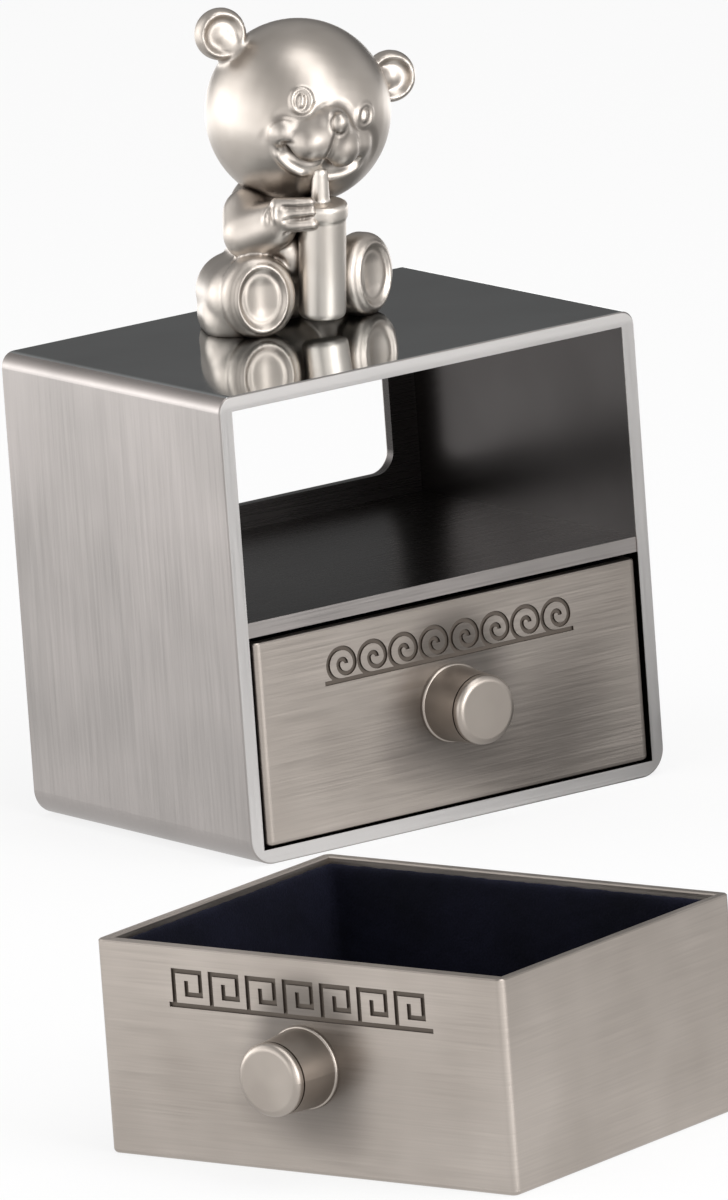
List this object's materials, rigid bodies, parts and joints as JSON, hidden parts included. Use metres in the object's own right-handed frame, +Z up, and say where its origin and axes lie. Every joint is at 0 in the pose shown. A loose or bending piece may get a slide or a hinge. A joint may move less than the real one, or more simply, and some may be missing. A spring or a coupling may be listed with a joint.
{
  "type": "baby keepsake box",
  "caption": "Small metal cabinet with stacked velvet-lined drawers on knobs for a baby's tooth and curl, and a seated teddy bear with a bottle on top.",
  "frame": {"origin": "middle of the cabinet's base, on the surface that it stands on", "axes": "+Z up, -Y out of the cabinet's open front, +X to the right seen from the front"},
  "size_m": [0.1508, 0.1962, 0.0941],
  "materials": {
    "brushed_pewter": "finely brushed pewter plate on a cast metal plate",
    "dark_polished_plate": "darkened plate, half polished",
    "satin_cast_pewter": "satin cast pewter with soft highlights",
    "navy_velvet": "near-black navy velvet on card",
    "plated_screw": "bright plated steel"
  },
  "bodies": {
    "cabinet": {"cabinet_shell": "brushed_pewter", "cabinet_shelf": "dark_polished_plate", "back_panel": "brushed_pewter", "bear_figure": "satin_cast_pewter", "bear_bottle": "satin_cast_pewter", "bear_screws": "plated_screw"},
    "curl_drawer": {"curl_drawer_tray": "brushed_pewter", "curl_drawer_floor_lining": "navy_velvet", "curl_drawer_wall_lining": "navy_velvet", "curl_drawer_knob_collar": "satin_cast_pewter", "curl_drawer_knob": "satin_cast_pewter", "curl_drawer_knob_screw": "plated_screw"},
    "tooth_drawer": {"tooth_drawer_tray": "brushed_pewter", "tooth_drawer_floor_lining": "navy_velvet", "tooth_drawer_wall_lining": "navy_velvet", "tooth_drawer_knob_collar": "satin_cast_pewter", "tooth_drawer_knob": "satin_cast_pewter", "tooth_drawer_knob_screw": "plated_screw"}
  },
  "joints": [
    {"name": "curl_drawer_slide", "type": "slide", "parent": "cabinet", "child": "curl_drawer", "axis": [0, -1, 0], "range_m": [0, 0.044]},
    {"name": "tooth_drawer_slide", "type": "slide", "parent": "cabinet", "child": "tooth_drawer", "axis": [-0.9548, -0.2974, 0], "range_m": [0, 0.044]}
  ]
}
